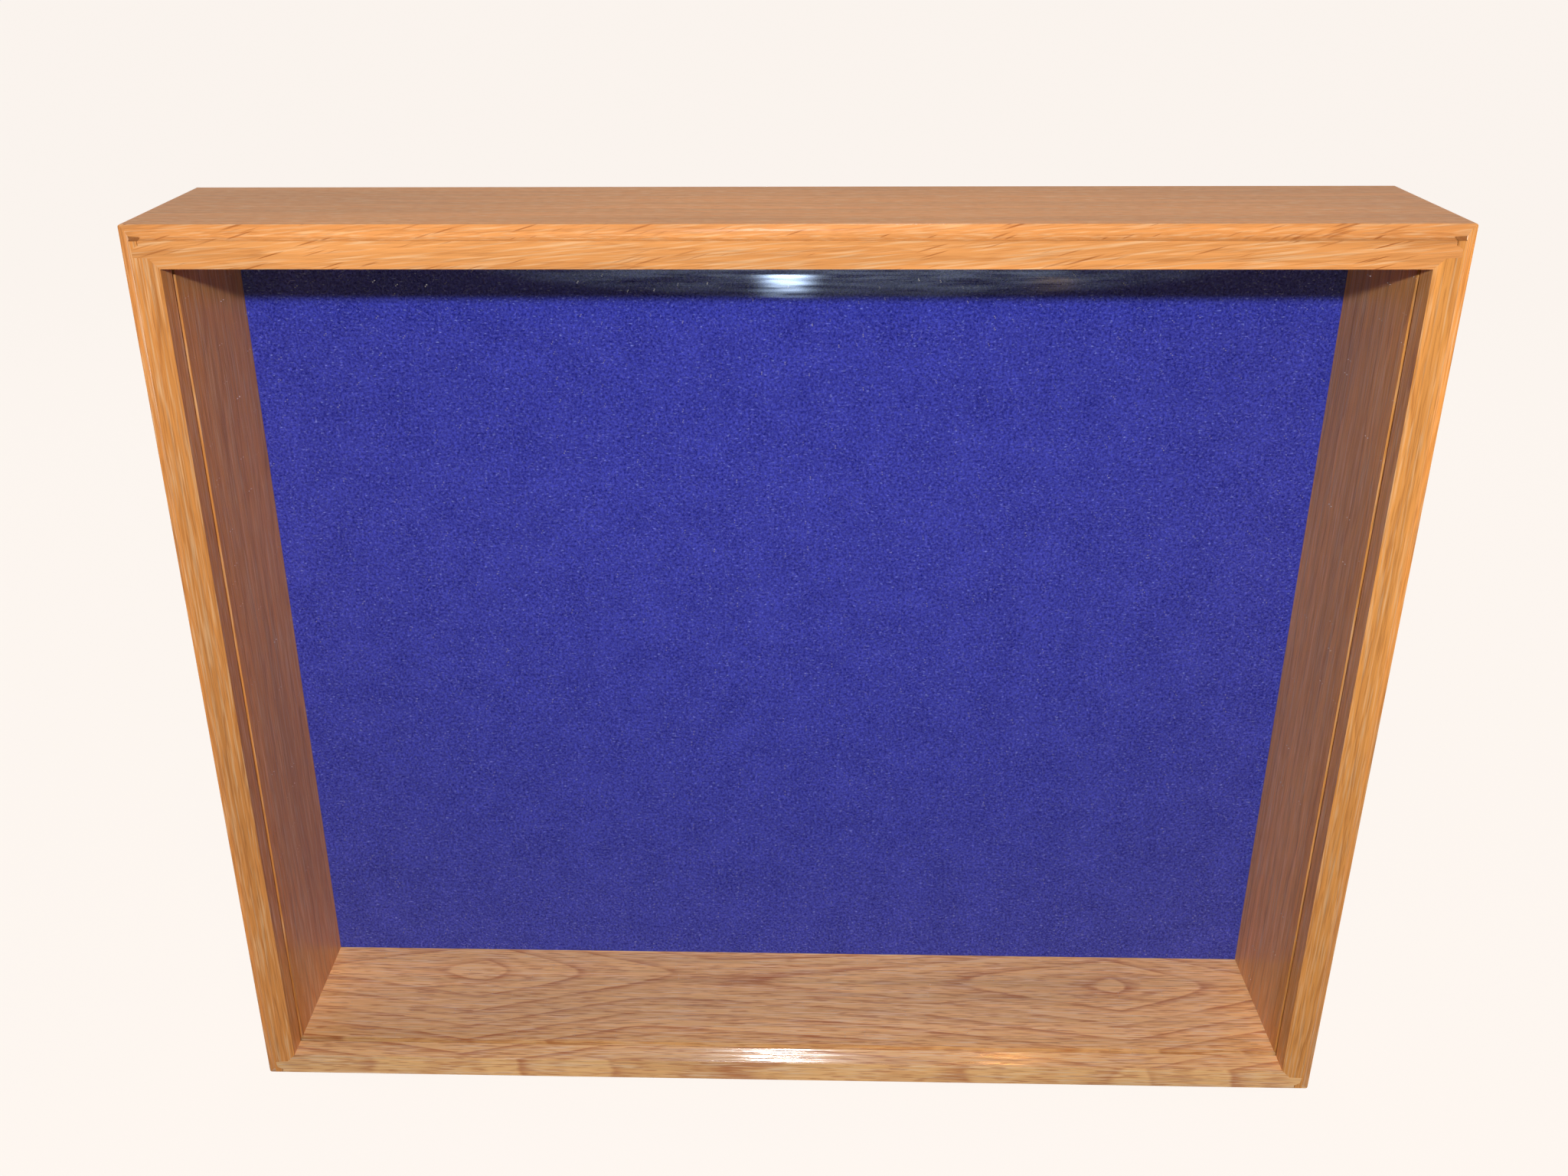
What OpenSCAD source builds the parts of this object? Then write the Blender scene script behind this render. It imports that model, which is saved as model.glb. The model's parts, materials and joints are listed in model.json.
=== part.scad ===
// Wall display case: four lock-mitred oak boards round a clear front sheet,
// with a felt-covered back board held in a rear rabbet by turn buttons.
// The origin is the middle of the bottom face. The front faces -Y and +Z is up.

/* [Case] */
// Outside width of the case
case_w = 609.6; // [450:0.05:900]
// Outside height of the case
case_h = 501.65; // [300:0.05:800]
// Depth of the boards from front to rear
case_d = 101.6; // [60:0.05:160]
// Thickness of the boards
board_t = 19.05; // [17.5:0.05:25]
// Radius sanded on the outer corners and on the rear edges
edge_ease = 1.2; // [0.5:0.1:2.5]

/* [Front moulding] */
// Radius of the cove cut along the outer front edges
cove_r = 6.35; // [3:0.05:7.5]

/* [Corner joint] */
// Length of the plain mitre at each end of the joint, measured across the board
lock_shoulder = 4.9; // [3.5:0.05:5.5]
// Wood left outside the tip of the tongue
lock_wall = 7.15; // [6:0.05:8]
// Slope of the tip of the tongue, over its height
tip_slope = 0.5; // [0.1:0.1:0.8]
// Slope of the tongue's outer face and of the hook's face, over their length
lock_draft = 0.35; // [0.2:0.05:0.8]
// Half of the slope on the back of the tongue
lock_taper = 0.8; // [0.3:0.05:1]
// Distance of the back of the tongue from the middle of the board
lock_offset = 0.4; // [0:0.1:0.6]
// Length of the hook that reaches behind the tongue
hook_len = 5.75; // [5:0.05:6.5]
// Open gap left at the end of the hook
hook_gap = 0.35; // [0.1:0.05:0.6]

/* [Front panel] */
// Thickness of the clear sheet
panel_t = 3; // [2:0.1:5]
// Distance from the front of the case to the groove
groove_set = 11.9; // [9.5:0.1:20]
// Depth of the groove in the boards
groove_depth = 6.35; // [4:0.05:9]
// Clearance between the sheet and the sides of the groove
panel_side_clear = 0.2; // [0.05:0.05:0.5]
// Clearance between the edge of the sheet and the bottom of the groove
panel_edge_clear = 0.6; // [0.2:0.1:0.9]

/* [Back] */
// Width of the rear rabbet, across the board
rabbet_w = 6.35; // [4:0.05:8]
// Thickness of the hardboard back
back_t = 4.8; // [3:0.1:8]
// Thickness of the felt lining
felt_t = 1.1; // [0.8:0.1:3]
// Clearance between the back and the side of the rabbet
back_edge_clear = 0.5; // [0.2:0.1:0.9]
// Clearance between the felt and the shoulder of the rabbet
back_seat_clear = 0.2; // [0.1:0.05:0.5]

/* [Turn buttons] */
// Distance of the top and bottom buttons from the middle of the case
button_x = 120; // [60:1:150]
// Distance from the pivot to the tip of the nose
button_reach = 26; // [20:0.5:32]
// Width of the button round its pivot
button_w = 10; // [8.5:0.1:11]
// Width of the button at its nose
nose_w = 7.5; // [6:0.1:9]
// Thickness of the button's metal
button_t = 1.2; // [0.8:0.1:2]
// Length of the turned-up lip at the nose
lip_len = 4; // [2:0.1:6]
// Height that the lip rises above the button
lip_rise = 1.5; // [0.5:0.1:2]
// Running clearance of a button, under it and below the screw's head
button_clear = 0.15; // [0.1:0.05:0.3]

/* [Screws] */
// Diameter of a button screw's shank
screw_d = 3.5; // [2.5:0.1:4.5]
// Length of a button screw below its head
screw_len = 16; // [10:0.5:25]
// Diameter of the screw's pan head
head_d = 6.9; // [5.5:0.1:8]
// Height of the screw's pan head
head_h = 2; // [1.5:0.1:3]
// Height of the domed part of the head
crown_h = 1.2; // [0.5:0.1:1.3]
// Length of the slots of the cross recess
recess_l = 3.6; // [2.5:0.1:4]
// Width of the slots of the cross recess
recess_w = 1; // [0.6:0.1:1.4]
// Depth of the cross recess
recess_d = 1.3; // [0.6:0.1:1.4]
// Running clearance round the shank, in the button's hole and in the wood
shank_clear = 0.05; // [0.02:0.01:0.1]

/* [Hangers] */
// Distance of each hanger from the middle of the case
hanger_x = 203.2; // [180:0.1:210]
// Length of a sawtooth hanger
hanger_l = 45; // [35:1:55]
// Height of a hanger
hanger_h = 9.5; // [7:0.1:11]
// Thickness of the hanger's metal
hanger_t = 0.9; // [0.6:0.1:1.5]
// Length of the flat tab at each end of a hanger
tab_len = 8; // [6:0.5:10]
// Gap behind the toothed middle of a hanger
hanger_rise = 2.3; // [1:0.1:3]
// Number of teeth on a hanger
teeth = 8; // [4:1:12]
// Height of the teeth
tooth_h = 1.5; // [0.8:0.1:2.5]
// Diameter of a hanger nail
nail_d = 1.6; // [1.2:0.1:2]
// Length of a hanger nail
nail_len = 13; // [8:1:20]
// Diameter of a nail's head
nail_head_d = 3.4; // [2.6:0.1:4]
// Thickness of a nail's head
nail_head_t = 0.7; // [0.5:0.1:1.2]

/* [Hidden] */
$fn = 64;

// Colours of the materials
OAK_TOP = "#b9824c";
OAK_SIDE = "#b5722f";
OAK_BASE = "#c99566";
CLEAR = [0.9, 0.95, 1, 0.3];
HARDBOARD = "#7a5536";
FELT = "#2f2c9c";
ZINC = "#b9bcc0";
STEEL = "#c8c9cc";

// Overrun of a cut past the face that it opens
over = 1;
// Width of a blunt point, as a share of its shank
point_share = 0.2;
// Turn of a cross recess from the upright
recess_turn = 45;
// Faces of the case
front_y = -case_d / 2;
rear_y = case_d / 2;
inner_w = case_w - 2 * board_t;
inner_top = case_h - board_t;

// Front groove and the sheet in it
groove_w = panel_t + 2 * panel_side_clear;
panel_lap = groove_depth - panel_edge_clear;
panel_y = front_y + groove_set + panel_side_clear;

// Rear rabbet and what it holds
rabbet_d = back_t + felt_t + back_seat_clear;
back_lap = rabbet_w - back_edge_clear;
back_y = rear_y - back_t;
felt_y = back_y - felt_t;

// Middle line of the boards' rear edges, which carries the hardware
edge_mid = (board_t - rabbet_w) / 2;
top_z = case_h - edge_mid;
side_x = case_w / 2 - edge_mid;
mid_z = case_h / 2;
button_y = rear_y + button_clear;
head_y = button_y + button_t + button_clear;
pilot_depth = screw_len - (head_y - rear_y) + over;
nail_inset = tab_len / 2;
tooth_pitch = (hanger_l - 2 * tab_len - 2 * hanger_t) / teeth;

// Where each turn button sits, [x, z], and the angle of its nose when parked
AT_TOP_LEFT = [-button_x, top_z, 0];
AT_TOP_RIGHT = [button_x, top_z, 180];
AT_BOTTOM_LEFT = [-button_x, edge_mid, 0];
AT_BOTTOM_RIGHT = [button_x, edge_mid, 180];
AT_LEFT = [-side_x, mid_z, 90];
AT_RIGHT = [side_x, mid_z, 90];
BUTTON_PLACES = [AT_TOP_LEFT, AT_TOP_RIGHT, AT_BOTTOM_LEFT, AT_BOTTOM_RIGHT,
    AT_LEFT, AT_RIGHT];

// The joint line seen from the front, measured outwards from the case's inner corner.
// It leaves the corner as a mitre, runs out round the tongue of the top or bottom board,
// comes back round the hook of the side board and ends as a mitre.
tongue_root = [lock_shoulder, lock_shoulder];
tongue_low = [board_t - lock_wall, lock_shoulder + lock_draft];
tongue_high = [tongue_low[0] - tip_slope, board_t / 2 + lock_offset - lock_taper];
hook_root = [board_t - lock_shoulder, board_t - lock_shoulder];
hook_tip = hook_root - [hook_len, lock_draft];
hook_heel = [hook_tip[0], board_t / 2 + lock_offset + lock_taper];
outer_corner = [board_t, board_t];
open_heel = along(hook_heel, tongue_high, hook_gap);
open_tip = along(hook_tip, hook_root, hook_gap);
TONGUE = [[0, 0], tongue_root, tongue_low, tongue_high];
RAIL_JOINT = concat(TONGUE, [hook_heel, hook_tip, hook_root, outer_corner]);
STILE_JOINT = concat(TONGUE, [open_heel, open_tip, hook_root, outer_corner]);

// Point at a distance from a on the line to b
function along(a, b, distance) = a + (b - a) * distance / norm(b - a);
function reversed(list) = [for (i = [len(list) - 1:-1:0]) list[i]];

// Front view of the top board
module rail_outline() {
    polygon(concat(
        [for (p = RAIL_JOINT) [inner_w / 2 + p[0], inner_top + p[1]]],
        [for (p = reversed(RAIL_JOINT)) [-inner_w / 2 - p[0], inner_top + p[1]]]));
}

// Front view of the right board
module stile_outline() {
    polygon(concat(
        [for (p = STILE_JOINT) [inner_w / 2 + p[0], inner_top + p[1]]],
        [for (p = reversed(STILE_JOINT)) [inner_w / 2 + p[0], board_t - p[1]]]));
}

// Front view of the whole case, filled in, with its eased corners
module case_outline() {
    translate([0, case_h / 2]) eased_box(case_w, case_h, edge_ease);
}

// Rectangle with round corners, about its centre
module eased_box(w, h, r) {
    square([w - 2 * r, h], center = true);
    square([w, h - 2 * r], center = true);
    for (sx = [-1, 1], sy = [-1, 1])
        translate([sx * (w / 2 - r), sy * (h / 2 - r)]) circle(r);
}

// Section of what rounding takes off a square edge that lies at the origin
module ease_section() {
    difference() {
        translate([-over, -edge_ease]) square(edge_ease + over);
        translate([edge_ease, -edge_ease]) circle(edge_ease);
    }
}

// A section, with its origin on the edge, run along all four outer edges of one face
module edge_cuts() {
    run = max(case_w, case_h) + 2 * over;
    for (k = [0:3]) {
        reach = (k % 2 == 0 ? case_h : case_w) / 2;
        translate([0, 0, case_h / 2]) rotate([0, 90 * k, 0])
            translate([-run / 2, front_y, reach])
                rotate([90, 0, 90]) linear_extrude(run) children();
    }
}

// Box as wide and as high as the inside of the case, plus a lap on every side
module inner_box(lap, y0, depth) {
    translate([-inner_w / 2 - lap, y0, board_t - lap])
        cube([inner_w + 2 * lap, depth, inner_top - board_t + 2 * lap]);
}

// A moulded board with the given front view, grooved and rabbeted
module moulded_board() {
    difference() {
        translate([0, rear_y, 0]) rotate([90, 0, 0]) linear_extrude(case_d)
            intersection() {
                children();
                case_outline();
            }
        edge_cuts() circle(cove_r);
        mirror([0, 1, 0]) edge_cuts() ease_section();
        inner_box(groove_depth, front_y + groove_set, groove_w);
        inner_box(rabbet_w, rear_y - rabbet_d, rabbet_d + over);
    }
}

// Hole bored into the rear edge of a board
module rear_bore(x, z, r, depth) {
    translate([x, rear_y + over, z]) rotate([90, 0, 0]) cylinder(r = r, h = depth + over);
}

// Pilot hole for the screw of a turn button
module pilot(place) {
    rear_bore(place[0], place[1], screw_d / 2 + shank_clear, pilot_depth);
}

// Turn button, with its pivot at the origin and its nose along +X
module turn_button(place) {
    translate([place[0], button_y, place[1]]) rotate([0, place[2], 0])
        difference() {
            intersection() {
                translate([0, button_t + lip_rise, 0]) rotate([90, 0, 0])
                    button_blank(button_t + lip_rise);
                translate([0, 0, -button_w]) linear_extrude(2 * button_w) button_profile();
            }
            translate([0, button_t + over, 0]) rotate([90, 0, 0])
                cylinder(d = screw_d + 2 * shank_clear, h = button_t + 2 * over);
        }
}

// Blank of a turn button: a round eye that tapers to a round nose
module button_blank(h) {
    nose_x = button_reach - nose_w / 2;
    cylinder(d = button_w, h = h);
    translate([nose_x, 0, 0]) cylinder(d = nose_w, h = h);
    linear_extrude(h) polygon([
        [0, button_w / 2], [nose_x, nose_w / 2],
        [nose_x, -nose_w / 2], [0, -button_w / 2]]);
}

// Side view of a turn button: a flat strap whose nose turns up into a lip
module button_profile() {
    bend = button_reach - lip_len;
    end = button_reach + over;
    end_rise = lip_rise * (lip_len + over) / lip_len;
    polygon([
        [-button_w, 0], [bend, 0], [end, end_rise],
        [end, end_rise + button_t], [bend, button_t], [-button_w, button_t]]);
}

// Pan-head screw with a cross recess, pointing along -Y into the wood
module pan_screw(place) {
    translate([place[0], head_y, place[1]]) rotate([-90, 0, 0]) {
        difference() {
            pan_head();
            for (turn = [0, 90])
                rotate([0, 0, turn + recess_turn])
                    translate([-recess_l / 2, -recess_w / 2, head_h - recess_d])
                        cube([recess_l, recess_w, recess_d + over]);
        }
        pointed_shank(screw_d, screw_len);
    }
}

// Head with a domed crown, standing on the origin
module pan_head() {
    crown_r = (pow(head_d / 2, 2) + pow(crown_h, 2)) / (2 * crown_h);
    rotate_extrude() intersection() {
        translate([0, head_h - crown_r]) circle(crown_r);
        square([head_d / 2, head_h]);
    }
}

// Round shank that hangs from the origin and ends in a blunt point
module pointed_shank(d, length) {
    mirror([0, 0, 1]) {
        cylinder(d = d, h = length - d);
        translate([0, 0, length - d]) cylinder(d1 = d, d2 = d * point_share, h = d);
    }
}

// Sawtooth hanger: two flat tabs and a raised strip with teeth along its lower edge
module sawtooth_hanger(x) {
    half = hanger_l / 2;
    translate([x, rear_y, top_z - hanger_h / 2])
        difference() {
            linear_extrude(hanger_h) hanger_plan(half, half - tab_len);
            for (i = [0:teeth - 1])
                translate([(i - (teeth - 1) / 2) * tooth_pitch, hanger_rise + hanger_t + over, 0])
                    rotate([90, 0, 0]) linear_extrude(hanger_t + 2 * over) tooth_gap();
            for (side = [-1, 1])
                translate([side * (half - nail_inset), hanger_t + over, hanger_h / 2])
                    rotate([90, 0, 0])
                        cylinder(d = nail_d + 2 * shank_clear, h = hanger_t + 2 * over);
        }
}

// Gap between two teeth, open downwards
module tooth_gap() {
    polygon([
        [-tooth_pitch / 2, -over], [-tooth_pitch / 2, 0], [0, tooth_h],
        [tooth_pitch / 2, 0], [tooth_pitch / 2, -over]]);
}

// Plan view of a hanger, bent from one strip
module hanger_plan(half, raised) {
    polygon([
        [-half, 0], [-raised, 0],
        [-raised + hanger_t, hanger_rise], [raised - hanger_t, hanger_rise],
        [raised, 0], [half, 0], [half, hanger_t],
        [raised + hanger_t / 2, hanger_t], [raised - hanger_t / 2, hanger_rise + hanger_t],
        [-raised + hanger_t / 2, hanger_rise + hanger_t], [-raised - hanger_t / 2, hanger_t],
        [-half, hanger_t]]);
}

// Nail with a flat head, driven along -Y
module hanger_nail(x) {
    translate([x, rear_y + hanger_t, top_z]) rotate([-90, 0, 0]) {
        cylinder(d = nail_head_d, h = nail_head_t);
        pointed_shank(nail_d, nail_len);
    }
}

// Places of the hanger nails along the top board
function nail_xs(centre) = [for (side = [-1, 1]) centre + side * (hanger_l / 2 - nail_inset)];

module top_board() {
    color(OAK_TOP) difference() {
        moulded_board() rail_outline();
        pilot(AT_TOP_LEFT);
        pilot(AT_TOP_RIGHT);
        for (x = concat(nail_xs(-hanger_x), nail_xs(hanger_x)))
            rear_bore(x, top_z, nail_d / 2 + shank_clear, nail_len);
    }
}

module bottom_board() {
    color(OAK_BASE) difference() {
        translate([0, 0, case_h]) mirror([0, 0, 1]) moulded_board() rail_outline();
        pilot(AT_BOTTOM_LEFT);
        pilot(AT_BOTTOM_RIGHT);
    }
}

module left_board() {
    color(OAK_SIDE) difference() {
        mirror([1, 0, 0]) moulded_board() stile_outline();
        pilot(AT_LEFT);
    }
}

module right_board() {
    color(OAK_SIDE) difference() {
        moulded_board() stile_outline();
        pilot(AT_RIGHT);
    }
}

module front_panel() {
    color(CLEAR) inner_box(panel_lap, panel_y, panel_t);
}

module back_board() {
    color(HARDBOARD) inner_box(back_lap, back_y, back_t);
}

module felt_lining() {
    color(FELT) inner_box(back_lap, felt_y, felt_t);
}

module button_top_left() { color(ZINC) turn_button(AT_TOP_LEFT); }
module button_top_right() { color(ZINC) turn_button(AT_TOP_RIGHT); }
module button_bottom_left() { color(ZINC) turn_button(AT_BOTTOM_LEFT); }
module button_bottom_right() { color(ZINC) turn_button(AT_BOTTOM_RIGHT); }
module button_left() { color(ZINC) turn_button(AT_LEFT); }
module button_right() { color(ZINC) turn_button(AT_RIGHT); }

module button_screws() {
    color(STEEL) for (place = BUTTON_PLACES) pan_screw(place);
}

module hanger_left() {
    color(ZINC) sawtooth_hanger(-hanger_x);
}

module hanger_right() {
    color(ZINC) sawtooth_hanger(hanger_x);
}

module hanger_nails() {
    color(STEEL) for (x = concat(nail_xs(-hanger_x), nail_xs(hanger_x))) hanger_nail(x);
}

top_board();
bottom_board();
left_board();
right_board();
front_panel();
back_board();
felt_lining();
button_top_left();
button_top_right();
button_bottom_left();
button_bottom_right();
button_left();
button_right();
button_screws();
hanger_left();
hanger_right();
hanger_nails();
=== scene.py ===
"""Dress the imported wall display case: varnished oak, a clear sheet, blue felt and plated hardware.

Lengths are in metres, apart from names that end in _mm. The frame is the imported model's own:
the origin is the middle of the bottom face, the front faces -Y and +Z is up.
"""

import json
import logging
import math
from dataclasses import dataclass
from enum import Enum
from typing import Sequence

import bmesh
import bpy
from mathutils import Euler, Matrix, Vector


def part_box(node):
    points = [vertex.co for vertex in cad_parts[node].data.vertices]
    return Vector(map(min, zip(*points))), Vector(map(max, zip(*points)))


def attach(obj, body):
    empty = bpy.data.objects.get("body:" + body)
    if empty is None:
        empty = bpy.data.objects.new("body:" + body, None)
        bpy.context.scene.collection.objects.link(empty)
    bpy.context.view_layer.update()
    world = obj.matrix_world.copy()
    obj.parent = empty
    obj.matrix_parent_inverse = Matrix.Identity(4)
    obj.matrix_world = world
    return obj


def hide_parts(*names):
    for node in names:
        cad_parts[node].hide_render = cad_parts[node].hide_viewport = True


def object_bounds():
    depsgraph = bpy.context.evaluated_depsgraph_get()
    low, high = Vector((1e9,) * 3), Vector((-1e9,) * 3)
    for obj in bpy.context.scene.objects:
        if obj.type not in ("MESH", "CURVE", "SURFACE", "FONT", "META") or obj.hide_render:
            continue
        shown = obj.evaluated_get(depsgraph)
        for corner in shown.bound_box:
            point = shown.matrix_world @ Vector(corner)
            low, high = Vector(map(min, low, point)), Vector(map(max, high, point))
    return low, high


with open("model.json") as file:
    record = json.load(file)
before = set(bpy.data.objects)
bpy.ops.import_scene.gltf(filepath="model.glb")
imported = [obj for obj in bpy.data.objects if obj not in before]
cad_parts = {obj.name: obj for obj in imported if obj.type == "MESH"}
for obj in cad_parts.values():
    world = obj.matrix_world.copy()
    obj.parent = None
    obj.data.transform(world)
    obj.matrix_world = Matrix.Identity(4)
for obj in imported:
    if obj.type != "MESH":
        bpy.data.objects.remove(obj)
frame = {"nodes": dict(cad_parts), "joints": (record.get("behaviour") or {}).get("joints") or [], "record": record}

LOG = logging.getLogger("display_case")
MM = 0.001
CAD_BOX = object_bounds()

MATH = "ShaderNodeMath"
VECTOR_MATH = "ShaderNodeVectorMath"
MIX = "ShaderNodeMix"
NOISE = "ShaderNodeTexNoise"
CELLS = "ShaderNodeTexVoronoi"
MAP_RANGE = "ShaderNodeMapRange"
MAPPING = "ShaderNodeMapping"
COORDINATES = "ShaderNodeTexCoord"
SEPARATE = "ShaderNodeSeparateXYZ"
COMBINE = "ShaderNodeCombineXYZ"
# Sockets of a Mix node that mixes colours
MIX_A, MIX_B, MIX_RESULT = 6, 7, 2

Socket = bpy.types.NodeSocket
Value = Socket | Sequence[Socket] | float | Sequence[float]


def linear(colour: str) -> tuple[float, float, float, float]:
    """Turn an sRGB hex colour into linear light.

    Args:
        colour: Six hex digits after a hash sign.

    Returns:
        Red, green, blue and an alpha of 1.
    """
    channels = [int(colour[i : i + 2], 16) / 255 for i in (1, 3, 5)]
    light = [c / 12.92 if c <= 0.04045 else ((c + 0.055) / 1.055) ** 2.4 for c in channels]
    return (*light, 1.0)


def add_node(
    tree: bpy.types.NodeTree,
    kind: str,
    inputs: dict[str | int, Value] | None = None,
    **settings: object,
) -> bpy.types.Node:
    """Add one node to a tree.

    Args:
        tree: The node tree that gets the node.
        kind: The node's type name.
        inputs: For each input, by name or number, the socket or sockets that feed it, or its
            plain value.
        **settings: The node's own properties.

    Returns:
        The new node.
    """
    node = tree.nodes.new(kind)
    for name, setting in settings.items():
        setattr(node, name, setting)
    for key, value in (inputs or {}).items():
        feeds = value if isinstance(value, list) else [value]
        if isinstance(feeds[0], Socket):
            for feed in feeds:
                tree.links.new(feed, node.inputs[key])
        else:
            node.inputs[key].default_value = value
    return node


def new_material(name: str) -> tuple[bpy.types.Material, bpy.types.NodeTree]:
    """Make an empty node material.

    Args:
        name: The material's name.

    Returns:
        The material and its empty node tree.
    """
    material = bpy.data.materials.new(name)
    material.use_nodes = True
    material.node_tree.nodes.clear()
    return material, material.node_tree


def finish_surface(tree: bpy.types.NodeTree, shader: Socket) -> None:
    """Lead a shader to the material's output."""
    add_node(tree, "ShaderNodeOutputMaterial", {"Surface": shader})


def dress(obj: bpy.types.Object, material: bpy.types.Material) -> None:
    """Give every face of a piece one material.

    Args:
        obj: The piece.
        material: The material of every face.
    """
    obj.data.materials.clear()
    obj.data.materials.append(material)
    for face in obj.data.polygons:
        face.material_index = 0


def new_piece(name: str, mesh: bpy.types.Mesh) -> bpy.types.Object:
    """Put a mesh into the scene as an object at the origin.

    Args:
        name: Name of the object.
        mesh: Its mesh.

    Returns:
        The object.
    """
    piece = bpy.data.objects.new(name, mesh)
    bpy.context.scene.collection.objects.link(piece)
    return piece


class Grain(Enum):
    """Which way the grain of a board runs in the case."""

    ALONG_X = (0.0, 0.0, 0.0)
    ALONG_Z = (0.0, math.pi / 2, 0.0)


@dataclass(frozen=True)
class Oak:
    """Red oak under satin varnish: rings of open pores, short dark rays, a warm golden tone.

    A board's own space runs along the grain, across the depth of the case and through the
    board, in millimetres. The rings are shells that narrow to both sides of each core, so a
    face that passes close to a core shows pointed ovals and other faces show long lines.

    Attributes:
        name: Name of the material.
        grain: Which way the grain runs.
        cores_mm: Middles of the rings in the board's own space.
        closing: How fast the rings close in before and after a core, along the grain.
        closed_mm: How far from a core they have closed in and run on side by side.
        ring_mm: Width of a growth ring.
        slope: Rise of the pores and fibres along the board, in radians.
        ray_slope: Rise of the rays on the front edge, in radians.
        wander_mm: How far the rings wander from their even shape.
        wobble_mm: How far they waver over a shorter way.
        pore_mm: Length, depth and width of a pore as it shows. Real pores are 0.3 mm wide,
            too fine to show, so they are drawn wider.
        wood: Colour between the rings.
        line: Colour of the porous line of a ring.
        pale: Colour of the painted glints, pale streaks standing in for highlights on the varnish.
        pore: Colour at the bottom of the pores.
        ray: Colour of the rays.
        end_grain: Colour of the wood across its grain.
        line_share: How strongly the rings show, from 0 to 1.
        pore_share: How strongly the pores show, from 0 to 1.
        painted_glint_share: How strongly the painted glints show, from 0 to 1.
        ray_share: How strongly the rays show on the front edge, from 0 to 1.
        varnish: How much of the varnish's film is closed, from 0 to 1.
        varnish_roughness: Roughness of that film.
        bead: How far the varnish's normal leans to the front on the strip before the sheet. It
            stands in for a lamp's double reflection, in the varnish and then in the sheet, which
            is too faint for the renderer to find. The real varnish is taken to be level.
    """

    name: str
    grain: Grain
    cores_mm: tuple[tuple[float, float, float], ...]
    closing: tuple[float, float] = (0.02, 0.02)
    closed_mm: float = 900.0
    ring_mm: float = 6.0
    slope: float = 0.0
    ray_slope: float = 0.0
    wander_mm: float = 9.0
    pore_mm: tuple[float, float, float] = (18.0, 0.6, 0.6)
    wood: str = "#e2a662"
    line: str = "#b9763c"
    pale: str = "#f8d8ab"
    pore: str = "#9a5c2c"
    ray: str = "#a9652f"
    end_grain: str = "#8f5a2b"
    line_share: float = 0.4
    pore_share: float = 0.3
    painted_glint_share: float = 0.5
    ray_share: float = 0.8
    varnish: float = 0.25
    varnish_roughness: float = 0.24
    bead: float = 0.0
    wobble_mm: float = 1.2

    FIBRE_MM = (80.0, 0.8, 0.8)
    # Size of the painted glints' streaks along, across and through the board
    PAINTED_GLINT_MM = (24.0, 0.9, 0.9)
    BAND_MM = (420.0, 7.0, 7.0)
    TONE_MM = (240.0, 60.0, 60.0)
    RAY_MM = (30.0, 9.0, 1.35)
    RAY_RADIUS = 0.36
    CLUSTER_MM = (60.0, 20.0, 12.0)
    END_SHARE = 0.85
    PORE_DEPTH_MM = 0.05
    FILM_DEPTH_MM = 0.02
    # Depth, front to rear, over which the lean before the sheet fades out
    SHEET_MM = (-40.0, -38.5)

    def _board_space(self, tree: bpy.types.NodeTree, rise: float) -> Socket:
        """Return the board's own space, turned so that its first axis rises along the board.

        Args:
            tree: The material's node tree.
            rise: The turn, in radians.

        Returns:
            The coordinates, in millimetres.
        """
        place = add_node(tree, COORDINATES).outputs["Object"]
        turned = add_node(
            tree, MAPPING, {"Vector": place, "Rotation": self.grain.value, "Scale": (1000.0,) * 3}
        )
        sloped = add_node(
            tree, MAPPING, {"Vector": turned.outputs[0], "Rotation": (0.0, rise, 0.0)}
        )
        return sloped.outputs[0]

    def _streaks(
        self,
        tree: bpy.types.NodeTree,
        space: Socket,
        size_mm: tuple[float, float, float],
        detail: float = 1.0,
    ) -> bpy.types.Node:
        """Return noise whose cells have the given size in the board's own space.

        Args:
            tree: The material's node tree.
            space: Coordinates in the board's own space.
            size_mm: Size of a cell along, across and through the board.
            detail: Number of finer octaves.

        Returns:
            The noise node, with a value and a colour from 0 to 1.
        """
        scale = tuple(1 / size for size in size_mm)
        cells = add_node(tree, VECTOR_MATH, {0: space, 1: scale}, operation="MULTIPLY")
        return add_node(tree, NOISE, {"Vector": cells.outputs[0], "Scale": 1.0, "Detail": detail})

    def _wandering(self, tree: bpy.types.NodeTree, space: Socket) -> Socket:
        """Return the board's space shifted as the trunk's growth wanders.

        Args:
            tree: The material's node tree.
            space: Coordinates in the board's own space.

        Returns:
            The shifted coordinates.
        """
        shifts = (
            ((130.0, 34.0, 34.0), self.wander_mm),
            ((24.0, 6.0, 6.0), self.wobble_mm),
        )
        for size_mm, reach in shifts:
            noise = self._streaks(tree, space, size_mm)
            centred = add_node(
                tree,
                VECTOR_MATH,
                {0: noise.outputs["Color"], 1: (0.5, 0.5, 0.5)},
                operation="SUBTRACT",
            )
            space = add_node(
                tree,
                VECTOR_MATH,
                {0: centred.outputs[0], 1: (0.0, 2 * reach, 2 * reach), 2: space},
                operation="MULTIPLY_ADD",
            ).outputs[0]
        return space

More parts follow.
